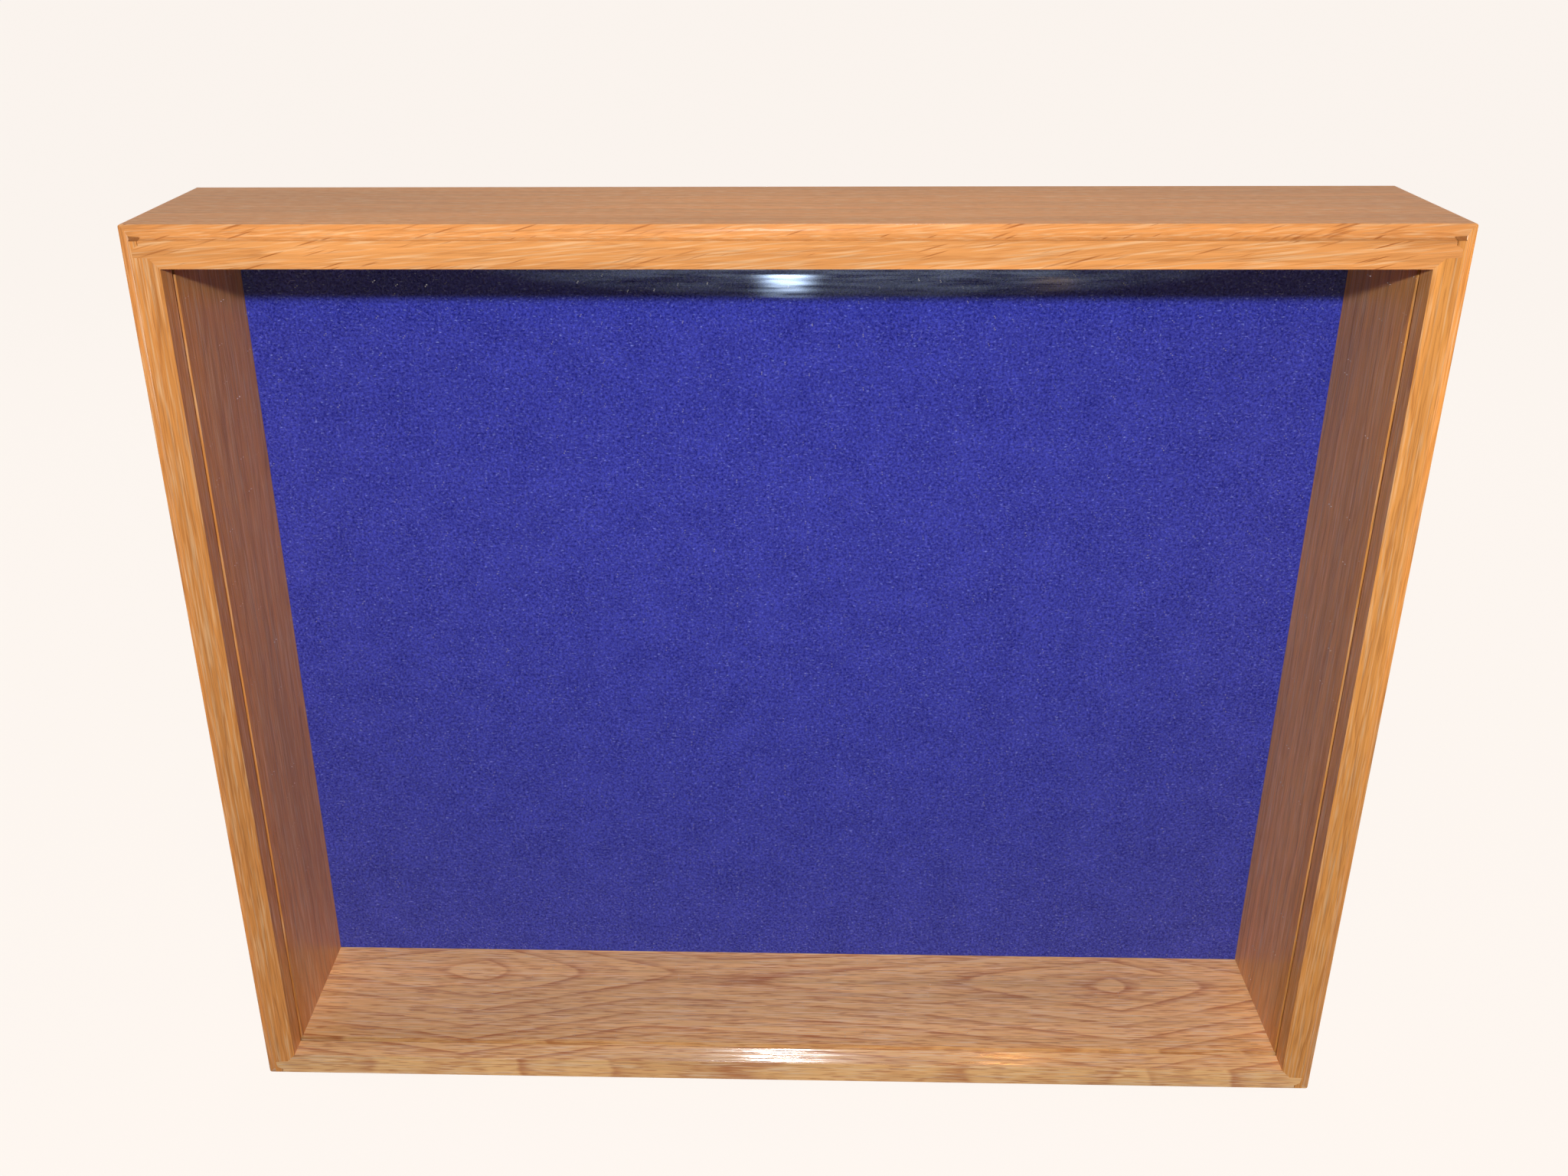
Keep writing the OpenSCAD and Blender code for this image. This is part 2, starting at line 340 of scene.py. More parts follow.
    def _radius(
        self, tree: bpy.types.NodeTree, space: Socket, core_mm: tuple[float, float, float]
    ) -> Socket:
        """Return the distance from a core, counted so that the shells narrow along the grain.

        Args:
            tree: The material's node tree.
            space: Coordinates in the board's own space.
            core_mm: The core in the same space.

        Returns:
            The radius in millimetres.
        """
        from_core = add_node(tree, VECTOR_MATH, {0: space, 1: core_mm}, operation="SUBTRACT")
        parts = add_node(tree, SEPARATE, {0: from_core.outputs[0]})
        share = add_node(
            tree, MATH, {0: parts.outputs[0], 1: self.closed_mm}, operation="DIVIDE"
        )
        far = add_node(tree, MATH, {0: share.outputs[0]}, operation="TANH")
        before, after = [
            add_node(tree, MATH, {0: far.outputs[0], 1: slope * self.closed_mm}, operation="MULTIPLY")
            for slope in (-self.closing[0], self.closing[1])
        ]
        along = add_node(
            tree,
            MATH,
            {0: before.outputs[0], 1: after.outputs[0], 2: 1.5},
            operation="SMOOTH_MAX",
        )
        shell = add_node(tree, COMBINE, {0: 0.0, 1: parts.outputs[1], 2: parts.outputs[2]})
        across = add_node(tree, VECTOR_MATH, {0: shell.outputs[0]}, operation="LENGTH")
        return add_node(
            tree, MATH, {0: across.outputs["Value"], 1: along.outputs[0]}, operation="ADD"
        ).outputs[0]

    def _ring_lines(self, tree: bpy.types.NodeTree, space: Socket) -> Socket:
        """Return 1 on the porous line of each ring and 0 in the plain wood between the lines.

        Args:
            tree: The material's node tree.
            space: Coordinates in the board's own space.

        Returns:
            The strength of the line.
        """
        shifted = self._wandering(tree, space)
        radius, *others = [self._radius(tree, shifted, core) for core in self.cores_mm]
        for other in others:
            radius = add_node(
                tree, MATH, {0: radius, 1: other, 2: 4.0}, operation="SMOOTH_MIN"
            ).outputs[0]
        count = add_node(tree, MATH, {0: radius, 1: self.ring_mm}, operation="DIVIDE")
        phase = add_node(tree, MATH, {0: count.outputs[0]}, operation="FRACT")
        profile = add_node(tree, "ShaderNodeValToRGB", {0: phase.outputs[0]})
        ramp = profile.color_ramp
        ramp.interpolation = "EASE"
        stops = ((0.0, 0.1), (0.06, 1.0), (0.17, 0.5), (0.32, 0.1), (0.52, 0.35), (0.66, 0.0))
        for stop, (place, level) in enumerate(stops):
            point = ramp.elements[stop] if stop < 2 else ramp.elements.new(place)
            point.position = place
            point.color = (level, level, level, 1.0)
        fading = add_node(
            tree,
            MAP_RANGE,
            {
                "Value": self._streaks(tree, space, (60.0, 14.0, 14.0), 2.0).outputs[0],
                "From Min": 0.3,
                "From Max": 0.6,
                "To Min": 0.35,
            },
        )
        return add_node(
            tree, MATH, {0: profile.outputs[0], 1: fading.outputs[0]}, operation="MULTIPLY"
        ).outputs[0]

    def _pores(self, tree: bpy.types.NodeTree, space: Socket, rings: Socket) -> Socket:
        """Return 1 in the open pores, which crowd together on the ring lines.

        Args:
            tree: The material's node tree.
            space: Coordinates in the board's own space.
            rings: Strength of the ring lines.

        Returns:
            The depth of the pores.
        """
        noise = self._streaks(tree, space, self.pore_mm)
        threshold = add_node(tree, MAP_RANGE, {"Value": rings, "To Min": 0.54, "To Max": 0.44})
        edge = add_node(tree, MATH, {0: threshold.outputs[0], 1: 0.12}, operation="ADD")
        return add_node(
            tree,
            MAP_RANGE,
            {
                "Value": noise.outputs[0],
                "From Min": threshold.outputs[0],
                "From Max": edge.outputs[0],
            },
        ).outputs[0]

    def _rays(self, tree: bpy.types.NodeTree) -> Socket:
        """Return 1 in the slender spindles of the rays, which gather in loose clusters.

        Args:
            tree: The material's node tree.

        Returns:
            The strength of the rays.
        """
        space = self._board_space(tree, self.ray_slope)
        scale = tuple(1 / size for size in self.RAY_MM)
        cells = add_node(tree, VECTOR_MATH, {0: space, 1: scale}, operation="MULTIPLY")
        spindles = add_node(tree, CELLS, {"Vector": cells.outputs[0], "Scale": 1.0})
        cluster = self._streaks(tree, space, self.CLUSTER_MM)
        reach = add_node(
            tree,
            MAP_RANGE,
            {
                "Value": cluster.outputs[0],
                "From Min": 0.38,
                "From Max": 0.62,
                "To Min": 0.08,
                "To Max": self.RAY_RADIUS,
            },
        )
        core = add_node(tree, MATH, {0: reach.outputs[0], 1: 0.55}, operation="MULTIPLY")
        inside = add_node(
            tree,
            MAP_RANGE,
            {
                "Value": spindles.outputs["Distance"],
                "From Min": reach.outputs[0],
                "From Max": core.outputs[0],
            },
        )
        random = add_node(tree, SEPARATE, {0: spindles.outputs["Color"]})
        depth = add_node(
            tree, MAP_RANGE, {"Value": random.outputs[0], "To Min": 0.35, "To Max": 1.0}
        )
        return add_node(
            tree, MATH, {0: inside.outputs[0], 1: depth.outputs[0]}, operation="MULTIPLY"
        ).outputs[0]

    def _end_on(self, tree: bpy.types.NodeTree) -> Socket:
        """Return 1 on faces that cut across the grain and 0 along it.

        Args:
            tree: The material's node tree.

        Returns:
            The share of end grain.
        """
        normal = add_node(tree, COORDINATES).outputs["Normal"]
        turned = add_node(tree, MAPPING, {"Vector": normal, "Rotation": self.grain.value})
        parts = add_node(tree, SEPARATE, {0: turned.outputs[0]})
        size = add_node(tree, MATH, {0: parts.outputs[0]}, operation="ABSOLUTE")
        return add_node(
            tree, MAP_RANGE, {"Value": size.outputs[0], "From Min": 0.5, "From Max": 0.75}
        ).outputs[0]

    def _film_normal(self, tree: bpy.types.NodeTree, film: Socket, fibres: Socket) -> Socket:
        """Return the varnish's normal, which leans to the front on the strip before the sheet.

        Args:
            tree: The material's node tree.
            film: The normal of the even film.
            fibres: Noise of the single fibres, along which the lean varies.

        Returns:
            The normal.
        """
        coordinates = add_node(tree, COORDINATES)
        place = add_node(tree, SEPARATE, {0: coordinates.outputs["Object"]})
        normal = add_node(tree, SEPARATE, {0: coordinates.outputs["Normal"]})
        before = add_node(
            tree,
            MAP_RANGE,
            {
                "Value": place.outputs[1],
                "From Min": self.SHEET_MM[1] * MM,
                "From Max": self.SHEET_MM[0] * MM,
            },
        )
        upward = add_node(
            tree,
            MAP_RANGE,
            {"Value": normal.outputs[2], "From Min": 0.8, "From Max": 0.95, "To Max": -self.bead},
        )
        lean = add_node(
            tree, MATH, {0: before.outputs[0], 1: upward.outputs[0]}, operation="MULTIPLY"
        )
        waves = add_node(
            tree,
            MAP_RANGE,
            {"Value": fibres, "From Min": 0.4, "From Max": 0.6, "To Min": 0.86, "To Max": 1.14},
        )
        waved = add_node(
            tree, MATH, {0: lean.outputs[0], 1: waves.outputs[0]}, operation="MULTIPLY"
        )
        forward = add_node(tree, COMBINE, {1: waved.outputs[0]})
        leaning = add_node(tree, VECTOR_MATH, {0: film, 1: forward.outputs[0]}, operation="ADD")
        return add_node(
            tree, VECTOR_MATH, {0: leaning.outputs[0]}, operation="NORMALIZE"
        ).outputs[0]

    def _faces_front(self, tree: bpy.types.NodeTree) -> Socket:
        """Return 1 on the front edge and its cove, and a little on the other faces.

        Args:
            tree: The material's node tree.

        Returns:
            The share of the rays that shows.
        """
        normal = add_node(tree, COORDINATES).outputs["Normal"]
        parts = add_node(tree, SEPARATE, {0: normal})
        return add_node(
            tree,
            MAP_RANGE,
            {"Value": parts.outputs[1], "From Min": -0.1, "From Max": -0.4, "To Min": 0.12},
        ).outputs[0]

    def _shade(self, tree: bpy.types.NodeTree, space: Socket, fibres: Socket) -> Socket:
        """Return how light or dark the wood is, in fine fibres, bands and broad tones.

        Args:
            tree: The material's node tree.
            space: Coordinates in the board's own space.
            fibres: Noise of the single fibres.

        Returns:
            A factor for the colour, about 1.
        """
        band = self._streaks(tree, space, self.BAND_MM, 2.0)
        tone = self._streaks(tree, space, self.TONE_MM)
        coarse = add_node(tree, MATH, {0: band.outputs[0], 1: tone.outputs[0]}, operation="ADD")
        every = add_node(tree, MATH, {0: fibres, 1: coarse.outputs[0]}, operation="ADD")
        return add_node(
            tree,
            MAP_RANGE,
            {
                "Value": every.outputs[0],
                "From Min": 1.0,
                "From Max": 2.0,
                "To Min": 0.78,
                "To Max": 1.22,
            },
        ).outputs[0]

    def material(self) -> bpy.types.Material:
        """Build the material.

        Returns:
            The finished material.
        """
        material, tree = new_material(self.name)
        space = self._board_space(tree, 0.0)
        sloped = self._board_space(tree, self.slope)
        rings = self._ring_lines(tree, space)
        pores = self._pores(tree, sloped, rings)
        fibres = self._streaks(tree, space, self.FIBRE_MM, 2.0).outputs[0]
        # Painted glints: pale streaks along the fibres stand in for the lamp's highlights on the varnish.
        pale = add_node(
            tree,
            MAP_RANGE,
            {
                "Value": self._streaks(tree, sloped, self.PAINTED_GLINT_MM).outputs[0],
                "From Min": 0.5,
                "From Max": 0.72,
            },
        )
        rays = add_node(
            tree, MATH, {0: self._rays(tree), 1: self._faces_front(tree)}, operation="MULTIPLY"
        )
        colour: Value = linear(self.wood)
        layers = (
            (rings, self.line_share, self.line),
            (pale.outputs[0], self.painted_glint_share, self.pale),
            (pores, self.pore_share, self.pore),
            (rays.outputs[0], self.ray_share, self.ray),
            (self._end_on(tree), self.END_SHARE, self.end_grain),
        )
        for strength, most, tint in layers:
            share = add_node(tree, MATH, {0: strength, 1: most}, operation="MULTIPLY")
            colour = add_node(
                tree,
                MIX,
                {0: share.outputs[0], MIX_A: colour, MIX_B: linear(tint)},
                data_type="RGBA",
            ).outputs[MIX_RESULT]
        toned = add_node(
            tree,
            VECTOR_MATH,
            {0: colour, "Scale": self._shade(tree, space, fibres)},
            operation="SCALE",
        )
        depth = add_node(tree, MATH, {0: pores, 1: -0.6, 2: fibres}, operation="MULTIPLY_ADD")
        bump, film = [
            add_node(
                tree,
                "ShaderNodeBump",
                {"Height": depth.outputs[0], "Strength": 1.0, "Distance": height * MM},
            )
            for height in (self.PORE_DEPTH_MM, self.FILM_DEPTH_MM)
        ]
        gloss = add_node(tree, MAP_RANGE, {"Value": fibres, "To Min": 0.4, "To Max": 0.6})
        shader = add_node(
            tree,
            "ShaderNodeBsdfPrincipled",
            {
                "Base Color": toned.outputs[0],
                "Roughness": gloss.outputs[0],
                "Normal": bump.outputs[0],
                "IOR": 1.5,
                "Specular IOR Level": 0.1,
                "Coat Weight": self.varnish,
                "Coat Roughness": self.varnish_roughness,
                "Coat Normal": self._film_normal(tree, film.outputs[0], fibres),
            },
        )
        finish_surface(tree, shader.outputs[0])
        return material


@dataclass(frozen=True)
class ClearAcrylic:
    """Cast acrylic sheet: clear and polished, with specks of dust and faint wiping marks.

    The wiping marks run across the sheet just under the top board, so they spread a lamp's
    reflection up and down.

    Attributes:
        name: Name of the material.
        shine: How much each face mirrors when it is seen square on. Bare acrylic has 0.04. This
            is set lower so that a pale surrounding does not veil the inside of the case.
        rim_shine: How much it mirrors when it is seen at a glancing angle, lower for that too.
        smear_mm: Middle of the wiped patch.
        smear_reach_mm: Half of its size along each axis.
    """

    name: str = "clear_acrylic"
    shine: float = 0.006
    rim_shine: float = 0.35
    smear_mm: tuple[float, float, float] = (30.0, -38.0, 485.0)
    smear_reach_mm: tuple[float, float, float] = (190.0, 20.0, 20.0)

    STEEPNESS = 3.0
    SPECK_MM = 12.0
    SPECK_RADIUS = 0.025
    WIPE_MM = (26.0, 26.0, 0.7)

    def _specks(self, tree: bpy.types.NodeTree, place: Socket) -> Socket:
        """Return 1 on the specks of dust, the largest two thirds of a millimetre across.

        Args:
            tree: The material's node tree.
            place: Coordinates on the sheet, in metres.

        Returns:
            The cover of dust.
        """
        scale = 1 / (self.SPECK_MM * MM)
        parts = add_node(tree, SEPARATE, {0: place})
        flat = add_node(tree, COMBINE, {0: parts.outputs[0], 1: parts.outputs[2]})
        cells = add_node(
            tree, CELLS, {"Vector": flat.outputs[0], "Scale": scale}, voronoi_dimensions="2D"
        )
        random = add_node(tree, SEPARATE, {0: cells.outputs["Color"]})
        radius = add_node(
            tree, MATH, {0: random.outputs[0], 1: self.SPECK_RADIUS}, operation="MULTIPLY"
        )
        return add_node(
            tree,
            MAP_RANGE,
            {
                "Value": cells.outputs["Distance"],
                "From Min": radius.outputs[0],
                "From Max": 0.0,
                "To Max": 1.6,
            },
        ).outputs[0]

    def _wiping(self, tree: bpy.types.NodeTree, place: Socket) -> Socket:
        """Return how strongly the wiping marks scatter light, from 0 to about a fifth.

        Args:
            tree: The material's node tree.
            place: Coordinates on the sheet, in metres.

        Returns:
            The share of the marks.
        """
        inverse = tuple(1 / (size * MM) for size in self.smear_reach_mm)
        middle = tuple(size * MM for size in self.smear_mm)
        offset = add_node(tree, VECTOR_MATH, {0: place, 1: middle}, operation="SUBTRACT")
        scaled = add_node(
            tree, VECTOR_MATH, {0: offset.outputs[0], 1: inverse}, operation="MULTIPLY"
        )
        away = add_node(tree, VECTOR_MATH, {0: scaled.outputs[0]}, operation="LENGTH")
        patch = add_node(
            tree, MAP_RANGE, {"Value": away.outputs["Value"], "From Min": 1.0, "From Max": 0.0}
        )
        stretch = tuple(1 / (size * MM) for size in self.WIPE_MM)
        lines = add_node(tree, VECTOR_MATH, {0: place, 1: stretch}, operation="MULTIPLY")
        noise = add_node(tree, NOISE, {"Vector": lines.outputs[0], "Scale": 1.0, "Detail": 2.0})
        marks = add_node(
            tree,
            MAP_RANGE,
            {"Value": noise.outputs[0], "From Min": 0.35, "From Max": 0.65, "To Max": 0.2},
        )
        return add_node(
            tree, MATH, {0: patch.outputs[0], 1: marks.outputs[0]}, operation="MULTIPLY"
        ).outputs[0]

    def material(self) -> bpy.types.Material:
        """Build the material. Lamps shine through it without being bent.

        Returns:
            The finished material.
        """
        material, tree = new_material(self.name)
        place = add_node(tree, COORDINATES).outputs["Object"]
        clear = add_node(tree, "ShaderNodeBsdfTransparent")
        mirror = add_node(tree, "ShaderNodeBsdfAnisotropic", {"Roughness": 0.0})
        glancing = add_node(tree, "ShaderNodeLayerWeight", {"Blend": 0.5}).outputs["Facing"]
        steep = add_node(tree, MATH, {0: glancing, 1: self.STEEPNESS}, operation="POWER")
        mirrored = add_node(
            tree,
            MAP_RANGE,
            {"Value": steep.outputs[0], "To Min": self.shine, "To Max": self.rim_shine},
        )
        sheet = add_node(
            tree,
            "ShaderNodeMixShader",
            {0: mirrored.outputs[0], 1: clear.outputs[0], 2: mirror.outputs[0]},
        )
        along = add_node(tree, COMBINE, {0: 1.0, 1: 0.0, 2: 0.0})
        wiped = add_node(
            tree,
            "ShaderNodeBsdfAnisotropic",
            {
                "Color": linear("#c4dcff"),
                "Roughness": 0.21,
                "Anisotropy": 0.82,
                "Tangent": along.outputs[0],
            },
            distribution="BECKMANN",
        )
        dust = add_node(tree, "ShaderNodeBsdfDiffuse", {"Color": linear("#c9cbd2")})
        marked = add_node(
            tree,
            "ShaderNodeMixShader",
            {0: self._wiping(tree, place), 1: sheet.outputs[0], 2: wiped.outputs[0]},
        )
        dusty = add_node(
            tree,
            "ShaderNodeMixShader",
            {0: self._specks(tree, place), 1: marked.outputs[0], 2: dust.outputs[0]},
        )
        path = add_node(tree, "ShaderNodeLightPath")
        lamps = add_node(
            tree,
            MATH,
            {0: path.outputs["Is Shadow Ray"], 1: path.outputs["Is Diffuse Ray"]},
            operation="MAXIMUM",
        )
        mixed = add_node(
            tree,
            "ShaderNodeMixShader",
            {0: lamps.outputs[0], 1: dusty.outputs[0], 2: clear.outputs[0]},
        )
        finish_surface(tree, mixed.outputs[0])
        return material


@dataclass(frozen=True)
class WoolFelt:
    """Pressed wool felt: royal blue, matt, mottled where the fibres lie at random."""

    name: str = "blue_felt"
    deep: str = "#19208a"
    bright: str = "#4e57e0"
    fleck: str = "#9aacff"

    MOTTLE_MM = 1.4
    CLOUD_MM = 22.0
    CLOUD_SHARE = 0.15
    FLECK_MM = (2.2, 0.9, 0.8)

    def material(self) -> bpy.types.Material:
        """Build the material.

        Returns:
            The finished material.
        """
        material, tree = new_material(self.name)
        place = add_node(tree, COORDINATES).outputs["Object"]
        mottle = add_node(
            tree,
            NOISE,
            {"Vector": place, "Scale": 1 / (self.MOTTLE_MM * MM), "Detail": 3.0, "Roughness": 0.8},
        )
        cloud = add_node(
            tree,
            NOISE,
            {"Vector": place, "Scale": 1 / (self.CLOUD_MM * MM), "Detail": 3.0},
        )
        both = add_node(
            tree,
            MATH,
            {0: cloud.outputs[0], 1: self.CLOUD_SHARE, 2: mottle.outputs[0]},
            operation="MULTIPLY_ADD",
        )
        share = add_node(
            tree, MAP_RANGE, {"Value": both.outputs[0], "From Min": 0.42, "From Max": 0.74}
        )
        colour = add_node(
            tree,
            MIX,
            {0: share.outputs[0], MIX_A: linear(self.deep), MIX_B: linear(self.bright)},
            data_type="RGBA",
        )
        stretch = tuple(1 / (size * MM) for size in self.FLECK_MM)
        bits = add_node(tree, VECTOR_MATH, {0: place, 1: stretch}, operation="MULTIPLY")
        specks = add_node(tree, NOISE, {"Vector": bits.outputs[0], "Scale": 1.0, "Detail": 1.0})
        flecks = add_node(
            tree,
            MAP_RANGE,
            {"Value": specks.outputs[0], "From Min": 0.64, "From Max": 0.76, "To Max": 0.7},
        )
        flecked = add_node(
            tree,
            MIX,
            {0: flecks.outputs[0], MIX_A: colour.outputs[MIX_RESULT], MIX_B: linear(self.fleck)},
            data_type="RGBA",
        )
        bump = add_node(
            tree,
            "ShaderNodeBump",
            {"Height": mottle.outputs[0], "Strength": 0.8, "Distance": 0.35 * MM},
        )
        shader = add_node(
            tree,
            "ShaderNodeBsdfPrincipled",
            {
                "Base Color": flecked.outputs[MIX_RESULT],
                "Roughness": 0.95,
                "Specular IOR Level": 0.0,
                "Normal": bump.outputs[0],
                "Sheen Weight": 0.05,
                "Sheen Roughness": 0.4,
                "Sheen Tint": linear("#8c90ff"),
            },
        )
        finish_surface(tree, shader.outputs[0])
        return material


@dataclass(frozen=True)
class LooseWool:
    """Loose wool on the felt's face: the same blue, paler because each fibre shines through."""

    name: str = "blue_wool_fibre"
    dark: str = "#3f42b4"
    light: str = "#8d97ee"

    def material(self) -> bpy.types.Material:
        """Build the material.

        Returns:
            The finished material.
        """
        material, tree = new_material(self.name)
        place = add_node(tree, COORDINATES).outputs["Object"]
        shade = add_node(tree, NOISE, {"Vector": place, "Scale": 1 / (6 * MM), "Detail": 2.0})
        share = add_node(
            tree, MAP_RANGE, {"Value": shade.outputs[0], "From Min": 0.35, "From Max": 0.65}
        )
        colour = add_node(
            tree,
            MIX,
            {0: share.outputs[0], MIX_A: linear(self.dark), MIX_B: linear(self.light)},
            data_type="RGBA",
        )
        shader = add_node(
            tree,
            "ShaderNodeBsdfPrincipled",
            {
                "Base Color": colour.outputs[MIX_RESULT],
                "Roughness": 0.7,
                "Specular IOR Level": 0.2,
            },
        )
        finish_surface(tree, shader.outputs[0])
        return material


class NodeShape:
    """A mesh made by Geometry Nodes and turned into a plain mesh piece.

    Attributes:
        tree: The node tree.
        entry: The node that gives the tree's inputs.
    """

    def __init__(self, name: str, sizes: dict[str, float | int]) -> None:
        """Start a tree with one named input for each size.

        Args:
            name: Name of the tree.
            sizes: Name and value of each input.
        """
        self.tree = bpy.data.node_groups.new(name, "GeometryNodeTree")
        face = self.tree.interface
        face.new_socket("Geometry", in_out="INPUT", socket_type="NodeSocketGeometry")
        face.new_socket("Geometry", in_out="OUTPUT", socket_type="NodeSocketGeometry")
        self._identifiers: dict[str, str] = {}
        for size in sizes:
            kind = "NodeSocketInt" if isinstance(sizes[size], int) else "NodeSocketFloat"
            socket = face.new_socket(size, in_out="INPUT", socket_type=kind)
            self._identifiers[size] = socket.identifier
        self._sizes = sizes
        self.entry = add_node(self.tree, "NodeGroupInput")

    def size(self, name: str) -> Socket:
        """Return the socket of a named input."""
        return self.entry.outputs[name]

    def finish(self, shape: Socket, material: bpy.types.Material) -> None:
        """End the tree with real geometry in one material.

        Args:
            shape: The geometry to give out.
            material: The material of all of it.
        """
        real = add_node(self.tree, "GeometryNodeRealizeInstances", {"Geometry": shape})
        dressed = add_node(
            self.tree,
            "GeometryNodeSetMaterial",
            {"Geometry": real.outputs[0], "Material": material},
        )
        add_node(self.tree, "NodeGroupOutput", {"Geometry": dressed.outputs[0]})

    def grow(self, name: str, seed_mesh: bpy.types.Mesh) -> bpy.types.Object:
        """Run the tree on a mesh and keep the result as a plain mesh.

        Args:
            name: Name of the finished piece.
            seed_mesh: The points or faces that the tree works on.

        Returns:
            The finished piece.
        """
        seed = new_piece(name + "_seed", seed_mesh)
        modifier = seed.modifiers.new("shape", "NODES")
        modifier.node_group = self.tree
        for size, value in self._sizes.items():
            modifier[self._identifiers[size]] = value
        graph = bpy.context.evaluated_depsgraph_get()
        mesh = bpy.data.meshes.new_from_object(seed.evaluated_get(graph))
        mesh.name = name
        bpy.data.objects.remove(seed)
        return new_piece(name, mesh)


@dataclass(frozen=True)
class Hardboard:
    """Tempered hardboard: pressed wood fibre, dark brown, with a fine speckle."""

    name: str = "hardboard"
    dark: str = "#5b3a22"
    light: str = "#8f6642"

    FIBRE_MM = 1.2
    STAIN_MM = 90.0

    def material(self) -> bpy.types.Material:
        """Build the material.

        Returns:
            The finished material.
        """
        material, tree = new_material(self.name)
        place = add_node(tree, COORDINATES).outputs["Object"]
        fibre = add_node(
            tree,
            NOISE,
            {"Vector": place, "Scale": 1 / (self.FIBRE_MM * MM), "Detail": 6.0, "Roughness": 0.75},
        )
        stain = add_node(
            tree, NOISE, {"Vector": place, "Scale": 1 / (self.STAIN_MM * MM), "Detail": 3.0}
        )
        both = add_node(
            tree,
            MATH,
            {0: stain.outputs[0], 1: 0.6, 2: fibre.outputs[0]},
            operation="MULTIPLY_ADD",
        )
        share = add_node(
            tree, MAP_RANGE, {"Value": both.outputs[0], "From Min": 0.5, "From Max": 1.1}
        )
        colour = add_node(
            tree,
            MIX,
            {0: share.outputs[0], MIX_A: linear(self.dark), MIX_B: linear(self.light)},
            data_type="RGBA",
        )
        bump = add_node(
            tree,
            "ShaderNodeBump",
            {"Height": fibre.outputs[0], "Strength": 0.3, "Distance": 0.1 * MM},
        )
        gloss = add_node(tree, MAP_RANGE, {"Value": fibre.outputs[0], "To Min": 0.45, "To Max": 0.7})
        shader = add_node(
            tree,
            "ShaderNodeBsdfPrincipled",
            {
                "Base Color": colour.outputs[MIX_RESULT],
                "Roughness": gloss.outputs[0],
                "Normal": bump.outputs[0],
            },
        )
        finish_surface(tree, shader.outputs[0])
        return material


@dataclass(frozen=True)
class PlatedSteel:
    """Zinc-plated steel: pale grey metal with a faint spangle and fine handling marks."""

    name: str
    colour: str
    roughness: tuple[float, float]

    SPANGLE_MM = 2.5

    def material(self) -> bpy.types.Material:
        """Build the material.

        Returns:
            The finished material.
        """
        material, tree = new_material(self.name)
        place = add_node(tree, COORDINATES).outputs["Object"]
        spangle = add_node(
            tree,
            NOISE,
            {"Vector": place, "Scale": 1 / (self.SPANGLE_MM * MM), "Detail": 5.0},
        )
        gloss = add_node(
            tree,
            MAP_RANGE,
            {
                "Value": spangle.outputs[0],
                "From Min": 0.3,
                "From Max": 0.7,
                "To Min": self.roughness[0],
                "To Max": self.roughness[1],
            },
        )
        tone = add_node(
            tree,
            MAP_RANGE,
            {"Value": spangle.outputs[0], "From Min": 0.3, "From Max": 0.7, "To Min": 0.85},
        )
        colour = add_node(
            tree,
            VECTOR_MATH,
            {0: linear(self.colour)[:3], "Scale": tone.outputs[0]},
            operation="SCALE",
        )
        bump = add_node(
            tree,
            "ShaderNodeBump",
            {"Height": spangle.outputs[0], "Strength": 0.3, "Distance": 0.02 * MM},
        )
        shader = add_node(
            tree,
            "ShaderNodeBsdfPrincipled",
            {
                "Base Color": colour.outputs[0],
                "Metallic": 1.0,
                "Roughness": gloss.outputs[0],
                "Normal": bump.outputs[0],
            },
        )
        finish_surface(tree, shader.outputs[0])
        return material


def body_of_node(node: str) -> str:
    """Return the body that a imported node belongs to."""
    bodies = frame["record"]["behaviour"]["bodies"]
    return next(body for body, nodes in bodies.items() if node in nodes)


def softened_copy(
    node: str, name: str, arris: float, material: bpy.types.Material
) -> bpy.types.Object:
    """Copy a solid's shape with its sharp edges slightly rounded, to show in its place.

    Args:
        node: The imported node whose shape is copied.
        name: Name of the new piece.
        arris: Width of the rounding on each edge.
        material: The material of the piece.

    Returns:
        The new piece.
    """
    source = frame["nodes"][node]
    mesh = bpy.data.meshes.new(name)
    shape = bmesh.new()
    shape.from_mesh(source.data)
    bmesh.ops.remove_doubles(shape, verts=shape.verts, dist=0.002 * MM)
    bmesh.ops.dissolve_limit(
        shape, angle_limit=math.radians(0.5), verts=shape.verts, edges=shape.edges
    )
    shape.to_mesh(mesh)
    shape.free()
    piece = new_piece(name, mesh)
    bevel = piece.modifiers.new("arris", "BEVEL")
    bevel.width = arris
    bevel.segments = 2
    bevel.limit_method = "ANGLE"
    bevel.angle_limit = math.radians(35)
    bevel.harden_normals = True
    dress(piece, material)
    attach(piece, body_of_node(node))
    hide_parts(node)
    return piece


